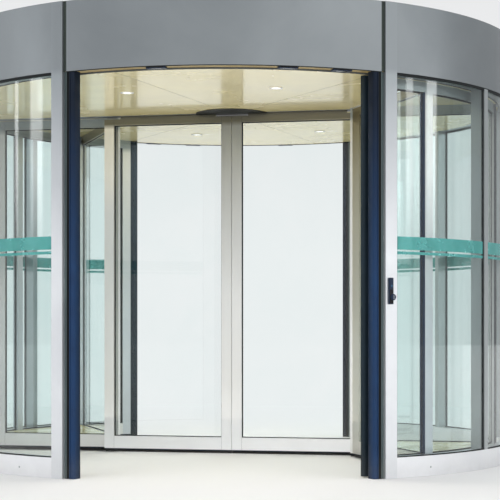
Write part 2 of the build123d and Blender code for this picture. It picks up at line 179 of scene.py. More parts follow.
def mix_colours(tree, mask, first, second):
    """Colour that goes from the first to the second as the mask rises."""
    return add_node(tree, "ShaderNodeMix", data_type="RGBA", Factor=mask, A=first,
                    B=second).outputs["Result"]


def bump(tree, height, strength, distance):
    """Normal that is bumped by a height."""
    return add_node(tree, "ShaderNodeBump", Height=height, Strength=strength,
                    Distance=distance).outputs["Normal"]


def door_point(tree):
    """Point in the door's frame."""
    return add_node(tree, "ShaderNodeTexCoord").outputs["Object"]


def upright_part(tree, vector):
    """Upright part of a point or a direction."""
    return add_node(tree, "ShaderNodeSeparateXYZ", Vector=vector).outputs["Z"]


def from_axis(tree, flatten=(1.0, 1.0, 0.0)):
    """Distance from the door's axis, along the given plan directions only."""
    flat = calculate(tree, "MULTIPLY", door_point(tree), flatten, kind=VECTOR, output="Vector")
    return calculate(tree, "LENGTH", flat, kind=VECTOR)


def ray_mask(tree, *kinds):
    """One where the ray is of any of the named kinds."""
    path = add_node(tree, "ShaderNodeLightPath")
    return combine(tree, "MAXIMUM", [path.outputs[kind] for kind in kinds])


def mix_shaders(tree, mask, first, second):
    """Mix two shaders on the tree's output."""
    pick = tree.nodes.new("ShaderNodeMixShader")
    for socket, value in zip(pick.inputs, (mask, first, second)):
        tree.links.new(value, socket)
    output = next(node for node in tree.nodes if node.type.startswith("OUTPUT_"))
    tree.links.new(pick.outputs["Shader"], output.inputs["Surface"])


# Shared effects, each a node group with named inputs and one output

def new_group(name, output, **inputs):
    """Shader node group, with the inner ends of its inputs and its output."""
    group = bpy.data.node_groups.new(name, "ShaderNodeTree")
    for label, value in inputs.items():
        socket = group.interface.new_socket(name=label, in_out="INPUT", socket_type=FLOAT)
        socket.default_value = value
    group.interface.new_socket(name=output, in_out="OUTPUT", socket_type=FLOAT)
    given = group.nodes.new("NodeGroupInput").outputs
    return group, given, group.nodes.new("NodeGroupOutput").inputs[output]


def make_patches_group():
    """Broad soft patches, as handling and cleaning leave on a surface."""
    group, given, out = new_group("soft_patches", "Value", Scale=2.0)
    noise = add_node(group, "ShaderNodeTexNoise", Vector=door_point(group), Scale=given["Scale"],
                     Detail=4.0, Roughness=0.55, Distortion=0.4)
    group.links.new(span(group, noise.outputs["Fac"], 0.0, 1.0, 0.32, 0.68), out)
    return group


def make_grain_group():
    """Fine drawn lines that run along a profile."""
    group, given, out = new_group("drawn_grain", "Value", Across=900.0, Along=6.0)
    stretch = add_node(group, "ShaderNodeCombineXYZ", X=given["Across"], Y=given["Across"],
                       Z=given["Along"])
    scaled = calculate(group, "MULTIPLY", door_point(group), stretch.outputs["Vector"],
                       kind=VECTOR, output="Vector")
    noise = add_node(group, "ShaderNodeTexNoise", Vector=scaled, Scale=1.0, Detail=3.0,
                     Roughness=0.6)
    group.links.new(noise.outputs["Fac"], out)
    return group


def make_dust_group():
    """Dust that gathers towards the floor and thins out upwards."""
    group, given, out = new_group("floor_dust", "Mask", Height=0.3, Amount=0.5)
    point = door_point(group)
    fade = add_node(group, "ShaderNodeMapRange", interpolation_type="SMOOTHSTEP",
                    Value=upright_part(group, point), From_Min=0.0, From_Max=given["Height"],
                    To_Min=1.0, To_Max=0.0)
    noise = add_node(group, "ShaderNodeTexNoise", Vector=point, Scale=24.0, Detail=6.0,
                     Roughness=0.65)
    shares = (fade.outputs["Result"], noise.outputs["Fac"], given["Amount"])
    group.links.new(combine(group, "MULTIPLY", shares), out)
    return group


def make_stipple_group():
    """Small even stipple of moulded plastic and rubber."""
    group, given, out = new_group("moulded_stipple", "Value", Scale=700.0)
    cells = add_node(group, "ShaderNodeTexVoronoi", feature="SMOOTH_F1",
                     Vector=door_point(group), Scale=given["Scale"])
    group.links.new(cells.outputs["Distance"], out)
    return group


PATCHES = make_patches_group()
GRAIN = make_grain_group()
DUST = make_dust_group()
STIPPLE = make_stipple_group()


def effect(tree, group, **values):
    """Result of one of the shared effects, placed with its own values."""
    return add_node(tree, "ShaderNodeGroup", node_tree=group, **values).outputs[0]


# Materials

def new_material(name):
    """Empty material with a Principled shader on its output."""
    material = bpy.data.materials.new(name)
    material.use_nodes = True
    tree = material.node_tree
    tree.nodes.clear()
    shader = tree.nodes.new("ShaderNodeBsdfPrincipled")
    add_node(tree, "ShaderNodeOutputMaterial", Surface=shader.outputs["BSDF"])
    return material, tree, shader


def tone_by_height(tree, colour, *steps):
    """Colour that takes other tones higher up, given as (from level, to level, tone)."""
    level = upright_part(tree, door_point(tree))
    for low, high, tone in steps:
        colour = mix_colours(tree, span(tree, level, 0.0, 1.0, low, high), colour, tone)
    return colour


def make_anodised(name, light, dark, dust_height=0.12, shade=None):
    """Satin anodised aluminium with a drawn grain, faint handling marks and dust near the floor,
    with painted light and shade from the shade function where one is given.
    """
    material, tree, shader = new_material(name)
    grain = effect(tree, GRAIN, Across=1100.0, Along=5.0)
    dust = effect(tree, DUST, Height=dust_height, Amount=0.22)
    metal = mix_colours(tree, effect(tree, PATCHES, Scale=3.2), light, dark)
    colour = mix_colours(tree, dust, metal, (0.42, 0.39, 0.35))
    fill(tree, shader, Base_Color=shade(tree, colour) if shade else colour, Metallic=0.75,
         Roughness=span(tree, grain, 0.26, 0.42), Normal=bump(tree, grain, 0.10, 0.0004))
    return material


def paint_post_shade(tree, colour):
    """Painted shade darkening towards the post's head, and the canopy panels' tone above the clear
    height.
    """
    return tone_by_height(tree, colour, (1.3, CLEAR, (0.335, 0.365, 0.385)),
                          (CLEAR - 0.02, CLEAR + 0.02, FASCIA_LIGHT))


def paint_leaf_light_and_shade(tree, colour):
    """Painted light and shade: paler low down, a warm painted highlight high on the outer stiles,
    and painted shade on the meeting stiles and on the top rails under the ceiling.
    """
    side = tone_by_height(tree, colour, (0.05, 0.40, (0.765, 0.76, 0.735)),
                          (1.70, 1.98, (0.96, 0.92, 0.83)))
    middle = tone_by_height(tree, colour, (0.05, 0.50, (0.79, 0.79, 0.785)),
                            (1.1, 2.25, (0.355, 0.365, 0.345)))
    near = span(tree, from_axis(tree, (1.0, 0.0, 0.0)), 1.0, 0.0, 0.15, 0.70)
    return tone_by_height(tree, mix_colours(tree, near, side, middle),
                          (2.30, 2.335, (0.185, 0.175, 0.130)))


def paint_wing_shade(tree, colour):
    """Painted shade: darker upwards, and darkest along the head rails under the ceiling."""
    return tone_by_height(tree, colour, (0.8, 2.25, (0.66, 0.655, 0.62)),
                          (2.29, 2.33, (0.30, 0.335, 0.34)))


def paint_case_shade_and_reflection(tree, colour):
    """Painted shade with a warm painted reflection of the ceiling, growing towards the showcase's
    head.
    """
    return tone_by_height(tree, colour, (0.2, 2.25, (0.30, 0.255, 0.15)))


def make_fascia_finish():
    """Metallic silver-grey canopy sheet with a soft sheen and slight waviness."""
    material, tree, shader = new_material("canopy_sheet")
    patches = effect(tree, PATCHES, Scale=1.6)
    fill(tree, shader, Metallic=0.75, Coat_Weight=0.15, Coat_Roughness=0.2,
         Base_Color=mix_colours(tree, patches, FASCIA_LIGHT, (0.235, 0.258, 0.272)),
         Roughness=span(tree, effect(tree, STIPPLE, Scale=1400.0), 0.30, 0.42),
         Normal=bump(tree, effect(tree, PATCHES, Scale=5.0), 0.12, 0.002))
    return material


def make_rubber(name, colour, worn, shade=None):
    """Moulded rubber with a fine stipple, paler where worn, with painted shade from the shade
    function where one is given, and dusty near the floor.
    """
    material, tree, shader = new_material(name)
    patches = effect(tree, PATCHES, Scale=7.0)
    dust = effect(tree, DUST, Height=0.20, Amount=0.22)
    wear_and_shade = mix_colours(tree, patches, colour, worn)
    # Painted shade from the shade function, where one is given, goes on under the dust.
    if shade:
        wear_and_shade = shade(tree, wear_and_shade)
    fill(tree, shader, Specular_IOR_Level=0.22,
         Base_Color=mix_colours(tree, dust, wear_and_shade, (0.16, 0.15, 0.14)),
         Roughness=span(tree, patches, 0.52, 0.72),
         Normal=bump(tree, effect(tree, STIPPLE, Scale=650.0), 0.2, 0.0003))
    return material


def paint_edge_shade(tree, colour):
    """Painted shade: darker under the canopy, and on the side that faces into the drum."""
    shaded = (0.004, 0.009, 0.020)
    inside = span(tree, from_axis(tree), 1.0, 0.0, 1.870, 1.925)
    return mix_colours(tree, inside, tone_by_height(tree, colour, (1.2, 2.2, shaded)), shaded)


def make_bristle():
    """Dark nylon bristles with pale and dark strands."""
    material, tree, shader = new_material("nylon_bristle")
    strands = effect(tree, GRAIN, Across=1600.0, Along=30.0)
    dust = effect(tree, DUST, Height=0.05, Amount=0.8)
    colour = mix_colours(tree, strands, (0.008, 0.009, 0.011), (0.055, 0.058, 0.065))
    fill(tree, shader, Base_Color=mix_colours(tree, dust, colour, (0.13, 0.12, 0.11)),
         Roughness=0.75, Normal=bump(tree, strands, 0.8, 0.001))
    return material


def make_glass():
    """Clear laminated glass, faintly blue-green, with wiped smears, that lets shadow rays pass."""
    material, tree, shader = new_material("laminated_glass")
    smears = effect(tree, PATCHES, Scale=2.4)
    wipes = effect(tree, PATCHES, Scale=9.0)
    fill(tree, shader, Transmission_Weight=1.0, IOR=1.38, Roughness=span(tree, wipes, 0.0, 0.02),
         Base_Color=mix_colours(tree, smears, (0.93, 0.97, 0.965), (0.90, 0.955, 0.95)))
    clear = add_node(tree, "ShaderNodeBsdfTransparent", Color=(0.93, 0.96, 0.955))
    mix_shaders(tree, ray_mask(tree, "Is Shadow Ray"), shader.outputs["BSDF"],
                clear.outputs["BSDF"])
    return material


def make_film():
    """Green translucent film with a faint mottle."""
    material, tree, shader = new_material("green_film")
    patches = effect(tree, PATCHES, Scale=12.0)
    fill(tree, shader, Transmission_Weight=0.55, IOR=1.35,
         Base_Color=mix_colours(tree, patches, (0.115, 0.51, 0.48), (0.15, 0.57, 0.55)),
         Roughness=span(tree, patches, 0.18, 0.3))
    return material


def make_lacquer(name, light, dark, rough, coat, shade=None):
    """Painted panel under a gloss coat, with a slight orange peel, and painted shade from the shade
    function where one is given.
    """
    material, tree, shader = new_material(name)
    patches = effect(tree, PATCHES, Scale=2.0)
    colour = mix_colours(tree, patches, light, dark)
    fill(tree, shader, Coat_Weight=coat, Coat_Roughness=rough,
         Base_Color=shade(tree, colour) if shade else colour,
         Roughness=span(tree, patches, rough + 0.12, rough + 0.25),
         Normal=bump(tree, effect(tree, PATCHES, Scale=160.0), 0.03, 0.0006))
    return material


def paint_rim_shade(tree, colour):
    """Painted shade: dark grey on the upright rims of level panels."""
    normal = add_node(tree, "ShaderNodeNewGeometry").outputs["Normal"]
    level = calculate(tree, "ABSOLUTE", upright_part(tree, normal))
    return mix_colours(tree, span(tree, level, 1.0, 0.0, 0.3, 0.6), colour, (0.09, 0.10, 0.10))


def paint_soffit_shade(tree, colour):
    """Painted shade: dark grey where the soffit runs over the glazed sides."""
    beside = span(tree, from_axis(tree, (1.0, 0.0, 0.0)), 0.0, 1.0, 1.06, 1.08)
    return mix_colours(tree, beside, colour, (0.07, 0.085, 0.09))


def make_steel(name, light, dark):
    """Plain rolled steel section with mill marks."""
    material, tree, shader = new_material(name)
    grain = effect(tree, GRAIN, Across=300.0, Along=14.0)
    fill(tree, shader, Metallic=0.8, Roughness=span(tree, grain, 0.35, 0.6),
         Base_Color=mix_colours(tree, effect(tree, PATCHES, Scale=6.0), light, dark),
         Normal=bump(tree, grain, 0.15, 0.0005))
    return material


def make_plastic(name, light, dark, rough):
    """Moulded plastic with a fine stipple."""
    material, tree, shader = new_material(name)
    stipple = effect(tree, STIPPLE, Scale=1100.0)
    fill(tree, shader, Specular_IOR_Level=0.25,
         Base_Color=mix_colours(tree, effect(tree, PATCHES, Scale=14.0), light, dark),
         Roughness=span(tree, stipple, rough - 0.06, rough + 0.08),
         Normal=bump(tree, stipple, 0.12, 0.0002))
    return material


def make_roof_paint():
    """Grey deck paint with settled dust and faint water marks."""
    material, tree, shader = new_material("deck_paint")
    patches = effect(tree, PATCHES, Scale=3.0)
    marks = effect(tree, PATCHES, Scale=22.0)
    base = mix_colours(tree, patches, (0.20, 0.21, 0.22), (0.27, 0.275, 0.28))
    faint = span(tree, marks, 0.0, 0.35)
    fill(tree, shader, Base_Color=mix_colours(tree, faint, base, (0.33, 0.32, 0.30)),
         Roughness=span(tree, marks, 0.5, 0.75), Normal=bump(tree, marks, 0.1, 0.0006))
    return material


def make_lens():
    """Frosted lamp lens with a soft, slightly uneven glow."""
    material, tree, shader = new_material("frosted_lens")
    patches = effect(tree, PATCHES, Scale=60.0)
    fill(tree, shader, Roughness=0.35, Emission_Strength=1.6,
         Base_Color=mix_colours(tree, patches, (0.90, 0.88, 0.82), (0.95, 0.94, 0.90)),
         Emission_Color=mix_colours(tree, patches, (1.0, 0.93, 0.80), (1.0, 0.97, 0.88)))
    return material


FASCIA_LIGHT = (0.275, 0.30, 0.315)
post_metal = make_anodised("post_anodised", (0.82, 0.84, 0.865), (0.75, 0.77, 0.80), 0.25,
                           paint_post_shade)
leaf_metal = make_anodised("leaf_anodised", (0.955, 0.96, 0.985), (0.91, 0.915, 0.935), 0.05,
                           paint_leaf_light_and_shade)
rail_metal = make_anodised("rail_anodised", (0.90, 0.91, 0.93), (0.84, 0.85, 0.88))
mullion_metal = make_anodised("mullion_anodised", (0.46, 0.49, 0.50), (0.42, 0.45, 0.46))
rotor_metal = make_anodised("rotor_anodised", (0.86, 0.86, 0.85), (0.79, 0.79, 0.78),
                            shade=paint_wing_shade)
stile_metal = make_anodised("stile_anodised", (0.68, 0.715, 0.755), (0.62, 0.655, 0.695),
                            shade=paint_wing_shade)
case_metal = make_anodised("case_anodised", (0.72, 0.705, 0.65), (0.66, 0.645, 0.59),
                           shade=paint_case_shade_and_reflection)
# Carriers: dark grey-green, partly their anodised tone and partly painted shade.
carrier_metal = make_anodised("carrier_anodised", (0.13, 0.17, 0.17), (0.10, 0.13, 0.135), 0.15)
canopy_sheet = make_fascia_finish()
navy_rubber = make_rubber("navy_rubber", (0.008, 0.029, 0.083), (0.012, 0.040, 0.108),
                          paint_edge_shade)
strip_rubber = make_rubber("strip_rubber", (0.005, 0.020, 0.056), (0.008, 0.028, 0.075))
# Tail rubbers: dark navy, darkened further as painted shade from the drum wall.
shaded_tail_rubber = make_rubber("shaded_tail_rubber", (0.007, 0.015, 0.022), (0.012, 0.023, 0.034))
joint_rubber = make_rubber("joint_rubber", (0.026, 0.034, 0.030), (0.036, 0.045, 0.040))
black_rubber = make_rubber("black_rubber", (0.008, 0.010, 0.011), (0.014, 0.017, 0.018))
bristle = make_bristle()
glass = make_glass()
film = make_film()
cream_lacquer = make_lacquer("cream_lacquer", (0.855, 0.735, 0.39), (0.825, 0.705, 0.36),
                             0.06, 0.45, paint_rim_shade)
tan_paint = make_lacquer("tan_paint", (0.42, 0.31, 0.12), (0.36, 0.26, 0.10), 0.30, 0.2,
                         paint_soffit_shade)
dark_disc = make_lacquer("dark_disc", (0.006, 0.007, 0.006), (0.012, 0.013, 0.012), 0.40, 0.0)
white_trim = make_lacquer("white_trim", (0.80, 0.79, 0.75), (0.74, 0.73, 0.70), 0.20, 0.4)
deck_paint = make_roof_paint()
plain_steel = make_steel("plain_steel", (0.40, 0.41, 0.43), (0.30, 0.31, 0.33))
bolt_steel = make_steel("bolt_steel", (0.55, 0.56, 0.58), (0.42, 0.43, 0.45))
dark_plastic = make_plastic("dark_plastic", (0.009, 0.018, 0.040), (0.014, 0.026, 0.054), 0.42)
smoked_window = make_plastic("smoked_window", (0.006, 0.006, 0.008), (0.012, 0.010, 0.012), 0.12)
# A small pale blue patch on the key switch, painted as a reflection.
painted_blue_reflection = make_plastic("painted_blue_reflection", (0.03, 0.09, 0.16), (0.045, 0.12, 0.20), 0.25)
lens_glow = make_lens()

FINISHES = {
    post_metal: ("post_front_left", "post_front_right", "post_back_right", "post_back_left"),
    rail_metal: ("drum_base_left", "drum_base_right"),
    mullion_metal: ("drum_mullions",),
    rotor_metal: ("wing_frames", "curved_rails", "head_rails"),
    stile_metal: ("case_stiles",),
    case_metal: ("case_frames",),
    leaf_metal: ("leaf_left_frame", "leaf_right_frame"),
    canopy_sheet: ("fascia_front", "fascia_back", "fascia_left", "fascia_right"),
    joint_rubber: ("fascia_joints",),
    glass: ("drum_glass_left", "drum_glass_right", "wing_glass", "case_glass", "curved_glass",
            "leaf_left_glass", "leaf_right_glass"),
    film: ("glass_bands",),
    cream_lacquer: ("ceiling_strips", "ceiling_panels_front", "ceiling_panels_back",
                    "case_floors"),
    dark_disc: ("centre_disc",),
    tan_paint: ("canopy_ring",),
    deck_paint: ("canopy_roof",),
    plain_steel: ("roof_beams", "drive_housing", "rotor_shaft", "door_track",
                  "ceiling_carrier"),
}


def finish_nodes():
    """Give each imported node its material."""
    for material, names in FINISHES.items():
        for name in names:
            mesh = nodes[name].data
            mesh.materials.clear()
            mesh.materials.append(material)


# Mesh tools for the dressing pieces

def add_object(name, data):
    """New object in the scene."""
    thing = bpy.data.objects.new(name, data)
    bpy.context.scene.collection.objects.link(thing)
    return thing


def to_mesh(bm, name):
    """Mesh from a bmesh, which is used up."""
    mesh = bpy.data.meshes.new(name)
    bm.to_mesh(mesh)
    bm.free()
    return mesh


def repeat(bm, turn):
    """Second copy of everything, turned or mirrored about the axis."""
    copy = bmesh.ops.duplicate(bm, geom=bm.verts[:] + bm.edges[:] + bm.faces[:])
    moved = [item for item in copy["geom"] if isinstance(item, bmesh.types.BMVert)]
    bmesh.ops.transform(bm, matrix=turn, verts=moved)


def hand_over(bm, name, body, materials, copies=(), sharp=35.0):
    """Finished piece that rides on its body, from a bmesh and its copies round the axis."""
    for turn in copies:
        repeat(bm, turn)
    bmesh.ops.transform(bm, matrix=BODY_PLACES[body], verts=bm.verts)
    bmesh.ops.recalc_face_normals(bm, faces=bm.faces)
    mesh = to_mesh(bm, name)
    for material in materials:
        mesh.materials.append(material)
    mesh.shade_smooth()
    mesh.set_sharp_from_angle(angle=radians(sharp))
    piece = add_object(name, mesh)
    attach(piece, body)
    return piece


def soften(bm, geometry, size, segments, affect):
    """Round edges or corners by a size."""
    bmesh.ops.bevel(bm, geom=geometry, offset=size, offset_type="OFFSET", segments=segments,
                    profile=0.5, affect=affect, material=-1, clamp_overlap=True)


def sweep(bm, geometry, angle, steps, rise=0.0, close=False):
    """Sweep a section round the axis by an angle, or straight up by a rise."""
    bmesh.ops.spin(bm, geom=geometry, cent=(0, 0, 0), axis=(0, 0, 1), dvec=(0, 0, rise),
                   angle=angle, steps=steps, use_merge=close, use_duplicate=False)


def faces_since(bm, before):
    """Faces that were added since a set of them was noted."""
    return [face for face in bm.faces if face not in before]


def colour_since(bm, before, finish):
    """Give the added faces one of the piece's materials, by its number."""
    for face in faces_since(bm, before):
        face.material_index = finish


def add_bar(bm, size, place, round_by, segments, finish=0):
    """Bar with rounded edges, its size given along the axes of the place."""
    before = set(bm.faces)
    cube = bmesh.ops.create_cube(bm, size=1.0, matrix=place @ Matrix.Diagonal((*size, 1.0)))
    corners = set(cube["verts"])
    edges = [edge for edge in bm.edges if edge.verts[0] in corners]
    soften(bm, edges, round_by, segments, "EDGES")
    colour_since(bm, before, finish)


def plan_point(radius, angle, level=0.0):
    """Point at a radius and plan angle."""
    return Vector((radius * cos(radians(angle)), radius * sin(radians(angle)), level))


def plan_outline(points, turn=0.0):
    """Plan outline from pairs of radius and angle."""
    return [plan_point(radius, angle + turn) for radius, angle in points]


ARC_STEP = 1.5


def add_arc_bar(bm, inner, outer, bottom, top, start, end, round_by=0.0, finish=0):
    """Four-sided bar bent round the axis between two plan angles, its long edges rounded."""
    before = set(bm.faces)
    corners = [bm.verts.new(plan_point(radius, start, level)) for radius, level in (
        (inner, bottom), (outer, bottom), (outer, top), (inner, top))]
    bm.faces.new(corners)
    if round_by:
        soften(bm, corners, round_by, 2, "VERTICES")
    steps = max(1, ceil(abs(end - start) / ARC_STEP))
    sweep(bm, faces_since(bm, before), radians(end - start), steps)
    colour_since(bm, before, finish)


def add_upright(bm, outline, bottom, top, rounded=()):
    """Upright profile from its plan outline, with chosen corners rounded by the given sizes."""
    before = set(bm.faces)
    corners = [bm.verts.new((point[0], point[1], bottom)) for point in outline]
    bm.faces.new(corners)
    for index, size in rounded:
        soften(bm, [corners[index]], size, 4, "VERTICES")
    sweep(bm, faces_since(bm, before), 0.0, 1, rise=top - bottom)


def turned_shape(outline, steps):
    """Small turned mesh from radius and height pairs that start and end on its axis."""
    bm = bmesh.new()
    points = [bm.verts.new((radius, 0.0, height)) for radius, height in outline]
    edges = [bm.edges.new(pair) for pair in zip(points, points[1:])]
    sweep(bm, points + edges, 2 * pi, steps, close=True)
    bmesh.ops.remove_doubles(bm, verts=bm.verts, dist=1e-6)
    bmesh.ops.recalc_face_normals(bm, faces=bm.faces)
    return to_mesh(bm, "shape")


def stamp(bm, shape, place):
    """Copy of a small turned mesh, set down at a place."""
    copy = shape.copy()
    copy.transform(place)
    bm.from_mesh(copy)
    bpy.data.meshes.remove(copy)


def place_on_ring(radius, angle, level):
    """Place on a ring, with X pointing outwards and Y running along the ring."""
    return Matrix.Rotation(radians(angle), 4, "Z") @ shift((radius, 0.0, level))


def add_comb(bm, length, depth, height, pitch=0.0035):
    """Straight bristle strip: a folded sheet with uneven tips at height 0, later placed or bent."""
    before = set(bm.faces)
    columns = max(4, ceil(length / pitch))
    made = bmesh.ops.create_grid(bm, x_segments=columns, y_segments=2, size=0.5)
    for vert in made["verts"]:
        column = round((vert.co.x + 0.5) * columns)
        level = vert.co.y + 0.5
        sway = sin(column * 2.399) * 0.25
        side = (0.5 if column % 2 else -0.5) + sway * (1.0 - level)
        tip = (0.5 + 0.5 * sin(column * 1.713)) * 0.12 * (1.0 - level)
        vert.co = ((vert.co.x + 0.5) * length, side * (depth - 0.003),
                   (level + tip * (level < 0.25)) * height)
    bmesh.ops.solidify(bm, geom=faces_since(bm, before), thickness=0.0022)
    return list({vert for face in faces_since(bm, before) for vert in face.verts})


def bend(verts, radius, start, level):
    """Bend a straight strip round the axis from a plan angle."""
    for vert in verts:
        angle = start + degrees(vert.co.x / radius)
        vert.co = plan_point(radius + vert.co.y, angle, level + vert.co.z)


PANE_BEAD = 0.005
BEAD_PROUD = 0.003


def add_pane_seal(bm, place, width, height):
    """Glazing bead round both faces of a straight pane, whose middle plane is at Y = 0."""
    flat = (width, BEAD_PROUD, PANE_BEAD)
    upright = (PANE_BEAD, BEAD_PROUD, height - 2 * PANE_BEAD)
    for side in (-1.0, 1.0):
        y = side * (PANE_THICK / 2 + BEAD_PROUD / 2)
        for z in (PANE_BEAD / 2, height - PANE_BEAD / 2):
            add_bar(bm, flat, place @ shift((width / 2, y, z)), 0.001, 1)
        for x in (PANE_BEAD / 2, width - PANE_BEAD / 2):
            add_bar(bm, upright, place @ shift((x, y, height / 2)), 0.001, 1)


def add_curved_seal(bm, inner, outer, start, end, bottom, top, bead, proud):
    """Glazing bead round both faces of a curved pane, its uprights half as proud."""
    for low, high in ((inner - proud, inner), (outer, outer + proud)):
        add_arc_bar(bm, low, high, bottom, bottom + bead, start, end)
        add_arc_bar(bm, low, high, top - bead, top, start, end)
        reach = degrees(bead / high)
        if high > outer:
            high -= proud / 2
        else:
            low += proud / 2
        for near, far in ((start, start + reach), (end - reach, end)):
            add_arc_bar(bm, low, high, bottom + bead, top - bead, near, far)


def add_joint_lines(bm, sides, faces, rails):
    """Fine upright joint lines where a frame's rails butt against its stiles."""
    for x in sides:
        for y in faces:
            for bottom, top in rails:
                add_bar(bm, (0.0009, 0.0005, top - bottom), shift((x, y, (bottom + top) / 2)),
                        0.0001, 1)


def grooved_outline(inner, outer, nose, heel, cuts, turn=0.0):
    """Plan outline of a rubber edge, with a groove down each side that is cut at four angles."""
    depths = (0.0, GROOVE_DEPTH, GROOVE_DEPTH, 0.0)
    out = [(outer - depth, cut) for depth, cut in zip(depths, cuts)]
    back = [(inner + depth, cut) for depth, cut in zip(depths, cuts)][::-1]
    points = [(inner, nose), (outer, nose), *out, (outer, heel), (inner, heel), *back]
    return plan_outline(points, turn)


# Drum: glazing beads, safety edges, soffit, fittings

def build_drum_beads():
    """Black glazing beads round the drum's curved panes, and a strip under the side fascias."""
    bm = bmesh.new()
    edges = [-SIDE_HALF]
    for angle in MULLION_ANGLES:
        edges += [angle - MULLION_HALF, angle + MULLION_HALF]
    edges.append(SIDE_HALF)
    for start, end in zip(edges[::2], edges[1::2]):
        add_curved_seal(bm, GLASS_BACK, GLASS_FACE, start, end, BASE, HEAD, 0.006, 0.0065)
    strip_in, strip_out, strip_foot = 1.9448, 1.9462, HEAD - 0.012
    add_arc_bar(bm, strip_in, strip_out, strip_foot, CLEAR, -SIDE_HALF, SIDE_HALF)
    hand_over(bm, "drum_glazing_beads", "drum", [black_rubber], TWICE)


def build_safety_rubbers():
    """Navy rubber safety edge on each post, with a round nose and a groove down each side."""
    bm = bmesh.new()
    groove = EDGE_START + 0.68 * (RUBBER_HEEL - EDGE_START)
    cuts = (groove, groove + 0.04, groove + 0.11, groove + 0.15)
    outline = grooved_outline(RUBBER_IN, RUBBER_OUT, EDGE_START, RUBBER_HEEL, cuts, -90.0)
    add_upright(bm, outline, 0.0, CLEAR, ((0, 0.016), (1, 0.016)))
    piece = hand_over(bm, "safety_rubbers", "drum", [navy_rubber],
                      FOUR_TIMES, 40.0)
    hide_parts("safety_edges")


def build_edge_bellows():
    """Black bellows between the safety rubbers and their carriers."""
    bm = bmesh.new()
    folds, fold_depth = 3, 0.006
    fold = (CARRIER_START - RUBBER_HEEL) / folds
    outer, inner = [], []
    for index in range(folds):
        for share, depth in ((0.12, 0.0), (0.62, 0.0), (0.74, fold_depth), (0.98, fold_depth)):
            angle = RUBBER_HEEL + index * fold + share * fold
            outer.append((CARRIER_OUT - depth, angle))
            inner.append((CARRIER_IN + depth, angle))
    add_upright(bm, plan_outline(outer + inner[::-1], -90.0), 0.0, CLEAR)
    hand_over(bm, "edge_bellows", "drum", [black_rubber], FOUR_TIMES, 30.0)


def build_edge_carriers():
    """Slim metal carriers that join the bellows to the posts, with a lip in front."""
    bm = bmesh.new()
    lip, step, neck = CARRIER_START + 0.14, CARRIER_START + 0.18, 0.008
    outline = plan_outline((
        (CARRIER_IN, CARRIER_START), (CARRIER_OUT, CARRIER_START), (CARRIER_OUT, lip),
        (CARRIER_OUT - neck, step), (CARRIER_OUT - neck, EDGE_END),
        (CARRIER_IN + neck, EDGE_END), (CARRIER_IN + neck, step), (CARRIER_IN, lip)), -90.0)
    add_upright(bm, outline, 0.0, CLEAR, ((0, 0.001), (1, 0.001)))
    hand_over(bm, "edge_carriers", "drum", [carrier_metal], FOUR_TIMES)


def build_soffit_beads():
    """Dark beads that close the joint between the doorway fascias and the soffit."""
    bm = bmesh.new()
    half = EDGE_END - 0.65
    add_arc_bar(bm, 1.931, 1.9385, CLEAR - 0.0045, CLEAR + 0.0005, -90.0 - half, -90.0 + half,
                0.0012)
    hand_over(bm, "soffit_beads", "drum", [black_rubber], TWICE)


def build_sensors():
    """Motion sensors under the soffit, each a case with a smoked window in front and below."""
    bm = bmesh.new()
    height = 0.0115
    low = CLEAR - height
    for offset in (-0.385, 0.375, 0.690):
        angle = degrees(atan2(-sqrt(WALL_MIDDLE**2 - offset**2), offset))
        place = place_on_ring(WALL_MIDDLE, angle, low)
        add_bar(bm, (0.050, 0.118, height), place @ shift((-0.001, 0, height / 2)), 0.004, 3)
        add_bar(bm, (0.0025, 0.098, 0.0055), place @ shift((0.0242, 0, 0.006)), 0.0009, 2, 1)
        add_bar(bm, (0.030, 0.070, 0.0012), place @ shift((0.0, 0, -0.0002)), 0.0005, 1, 1)
    piece = hand_over(bm, "motion_sensor_cases", "drum", [dark_plastic, smoked_window],
                      TWICE)
    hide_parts("motion_sensors")


def build_switch():
    """Key switch on the front right post: a dark box with a smoked window and a small pale blue
    patch that is a painted reflection, and a turning dial.
    """
    post_middle = (EDGE_END + POST_END) / 2 - 90.0
    face = place_on_ring(OUTER, post_middle, 1.107) @ shift((0.0, -0.008, 0.0))
    bm = bmesh.new()
    add_bar(bm, (0.012, 0.032, 0.156), face @ shift((0.006, 0, 0)), 0.003, 3)
    add_bar(bm, (0.0030, 0.027, 0.062), face @ shift((0.0124, 0, 0.0425)), 0.0012, 2)
    add_bar(bm, (0.0024, 0.027, 0.082), face @ shift((0.0122, 0, -0.0325)), 0.0010, 2, 1)
    # Small pale blue patch: a painted reflection on the box's face.
    add_bar(bm, (0.0012, 0.010, 0.012), face @ shift((0.0138, 0.002, 0.030)), 0.0004, 2, 2)
    piece = hand_over(bm, "key_switch", "drum", [dark_plastic, smoked_window, painted_blue_reflection])
    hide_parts("switch_box")
    outline = ((0, 0), (0.0160, 0), (0.0186, 0.0015), (0.0190, 0.004), (0.0186, 0.0056),
               (0.0168, 0.0068), (0.0162, 0.0100), (0.0148, 0.0115), (0.0118, 0.0120),
               (0.0112, 0.0112), (0, 0.0112))
    bm = bmesh.new()
    over = face @ shift((0.0136, 0.009, -0.036)) @ Matrix.Rotation(pi / 2, 4, "Y")
    stamp(bm, turned_shape(outline, 40), over)
    add_bar(bm, (0.0225, 0.0040, 0.0012), over @ shift((0, 0, 0.0115)), 0.0004, 2, 1)
    piece = hand_over(bm, "switch_dial", "drum", [dark_plastic, bolt_steel])
    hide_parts("switch_knob")


def build_base_plugs():
    """Small cover plugs over the fixings of the base rails."""
    shape = turned_shape(((0, 0), (0.0062, 0), (0.0062, 0.0008), (0.0054, 0.0015),
                          (0.0022, 0.0016), (0.0018, 0.0011), (0, 0.0011)), 20)
    bm = bmesh.new()
    for angle in (-50.6, -12.0):
        place = place_on_ring(OUTER - 0.0002, angle, 0.053)
        stamp(bm, shape, place @ Matrix.Rotation(pi / 2, 4, "Y"))
    hand_over(bm, "base_plugs", "drum", [mullion_metal], FOUR_TIMES)


